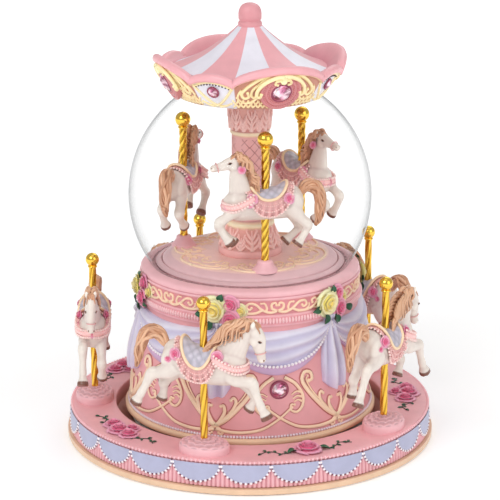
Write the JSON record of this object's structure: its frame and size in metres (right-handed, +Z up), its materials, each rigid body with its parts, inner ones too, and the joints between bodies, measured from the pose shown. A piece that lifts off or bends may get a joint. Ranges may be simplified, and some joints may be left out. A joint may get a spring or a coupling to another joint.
{
  "type": "carousel music box",
  "caption": "Carousel music box: horses on a gear-driven platform circle a garlanded drum, and inner horses counter-rotate under a canopied glass globe; wound by a key below.",
  "frame": {"origin": "middle of the resting face, on the carousel's axis", "axes": "+Z up along the carousel's axis, front of the picture towards -Y, +X to its right"},
  "size_m": [0.1535, 0.1534, 0.1807],
  "materials": {
    "felt": "felt",
    "cream_resin": "satin painted cast resin",
    "pink_resin": "satin painted cast resin",
    "horse_resin": "pearl painted cast resin",
    "gold": "polished gold",
    "brass": "turned brass",
    "steel": "ground steel",
    "nylon": "natural nylon",
    "rubber": "tinted rubber",
    "glass": "clear blown glass",
    "gem": "faceted acrylic"
  },
  "bodies": {
    "base": {"felt_ring": "felt", "base_plinth": "cream_resin", "glide_ring": "nylon", "mechanism_plate": "steel", "plate_screws": "steel", "bedplate": "brass", "bedplate_posts": "brass", "cylinder_brackets": "brass", "governor_brackets": "brass", "comb": "steel", "comb_screws": "steel", "comb_block": "brass", "drum_shell": "pink_resin", "drum_gems": "gem", "globe_glass": "glass", "globe_stopper": "rubber", "spindle_bush": "brass", "canopy": "pink_resin", "canopy_gems": "gem", "canopy_small_gems": "gem", "finial": "cream_resin"},
    "platform": {"platform": "pink_resin", "ring_gear": "nylon", "outer_pole_1": "gold", "outer_pole_2": "gold", "outer_pole_3": "gold", "outer_pole_4": "gold", "outer_pole_5": "gold", "outer_horse_1": "horse_resin", "outer_horse_2": "horse_resin", "outer_horse_3": "horse_resin", "outer_horse_4": "horse_resin", "outer_horse_5": "horse_resin"},
    "drive": {"drive_shaft": "steel", "drive_pinion": "brass", "drive_wheel": "brass"},
    "inner": {"great_wheel": "brass", "spring_barrel": "brass", "mainspring": "steel", "crown_lid": "brass", "spindle": "steel", "inner_deck": "pink_resin", "column": "pink_resin", "inner_pole_1": "gold", "inner_pole_2": "gold", "inner_pole_3": "gold", "inner_horse_1": "horse_resin", "inner_horse_2": "horse_resin", "inner_horse_3": "horse_resin"},
    "cylinder": {"cylinder_arbor": "steel", "cylinder_pinion": "brass", "music_cylinder": "brass", "cylinder_wheel": "brass"},
    "governor": {"governor_arbor": "steel", "governor_pinion": "brass", "governor_fan": "brass"},
    "key": {"winding_arbor": "steel", "winding_key": "brass"}
  },
  "joints": [
    {"name": "platform_spin", "type": "hinge", "parent": "base", "child": "platform", "pos_m": [0, 0, 0.0136], "axis": [0, 0, 1], "continuous": true},
    {"name": "drive_spin", "type": "hinge", "parent": "base", "child": "drive", "pos_m": [-0.036, 0, 0.01], "axis": [0, 0, 1], "continuous": true},
    {"name": "inner_spin", "type": "hinge", "parent": "base", "child": "inner", "pos_m": [0, 0, 0.02], "axis": [0, 0, 1], "continuous": true},
    {"name": "cylinder_spin", "type": "hinge", "parent": "base", "child": "cylinder", "pos_m": [0.028, 0, 0.0312], "axis": [1, 0, 0], "continuous": true},
    {"name": "governor_spin", "type": "hinge", "parent": "base", "child": "governor", "pos_m": [0.03, 0.0125, 0.0312], "axis": [1, 0, 0], "continuous": true},
    {"name": "key_wind", "type": "hinge", "parent": "base", "child": "key", "pos_m": [0, 0, 0.004], "axis": [0, 0, 1], "continuous": true}
  ],
  "couplings": [
    {"joint": "drive_spin", "follows": "platform_spin", "ratio": 5.5},
    {"joint": "inner_spin", "follows": "platform_spin", "ratio": -2.1154},
    {"joint": "cylinder_spin", "follows": "platform_spin", "ratio": -6.3462},
    {"joint": "governor_spin", "follows": "platform_spin", "ratio": 25.385}
  ]
}
